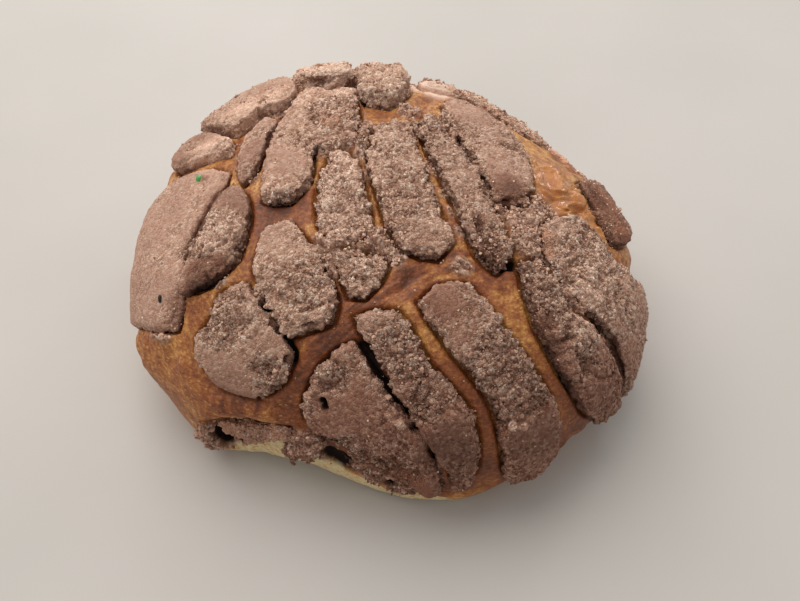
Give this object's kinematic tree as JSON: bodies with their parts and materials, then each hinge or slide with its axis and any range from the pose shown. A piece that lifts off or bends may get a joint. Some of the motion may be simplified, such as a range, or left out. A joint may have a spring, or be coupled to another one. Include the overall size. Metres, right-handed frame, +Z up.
{
  "type": "concha sweet bun",
  "caption": "Domed sweet bread bun under a cracked cocoa sugar topping that lies on it in separate curved slabs, resting on its flat underside.",
  "frame": {"origin": "centre of the bounding box's bottom face, on the flat underside", "axes": "+Z up out of the dome, +X along the longest side of the plan, and -Y towards the side seen in the picture"},
  "size_m": [0.1278, 0.127, 0.0523],
  "materials": {
    "crust": null,
    "cocoa_topping": null
  },
  "bodies": {
    "root": {"bun": "crust", "topping_left": "cocoa_topping", "topping_left_inner": "cocoa_topping", "topping_low_left": "cocoa_topping", "topping_centre_left": "cocoa_topping", "topping_centre_small": "cocoa_topping", "topping_upper_strip": "cocoa_topping", "topping_back_left_low": "cocoa_topping", "topping_back_left": "cocoa_topping", "topping_upper": "cocoa_topping", "topping_centre_left_strip": "cocoa_topping", "topping_centre_strip": "cocoa_topping", "topping_right_strip": "cocoa_topping", "topping_upper_right": "cocoa_topping", "topping_crown_right": "cocoa_topping", "topping_crown_left": "cocoa_topping", "topping_right_back": "cocoa_topping", "topping_right_outer": "cocoa_topping", "topping_right_side": "cocoa_topping", "topping_front_right": "cocoa_topping", "topping_front_middle": "cocoa_topping", "topping_front_left": "cocoa_topping", "topping_rim_scrap": "cocoa_topping", "topping_rear_1": "cocoa_topping", "topping_rear_2": "cocoa_topping", "topping_rear_3": "cocoa_topping", "topping_rear_4": "cocoa_topping", "topping_rear_5": "cocoa_topping", "topping_rear_6": "cocoa_topping"}
  },
  "joints": []
}
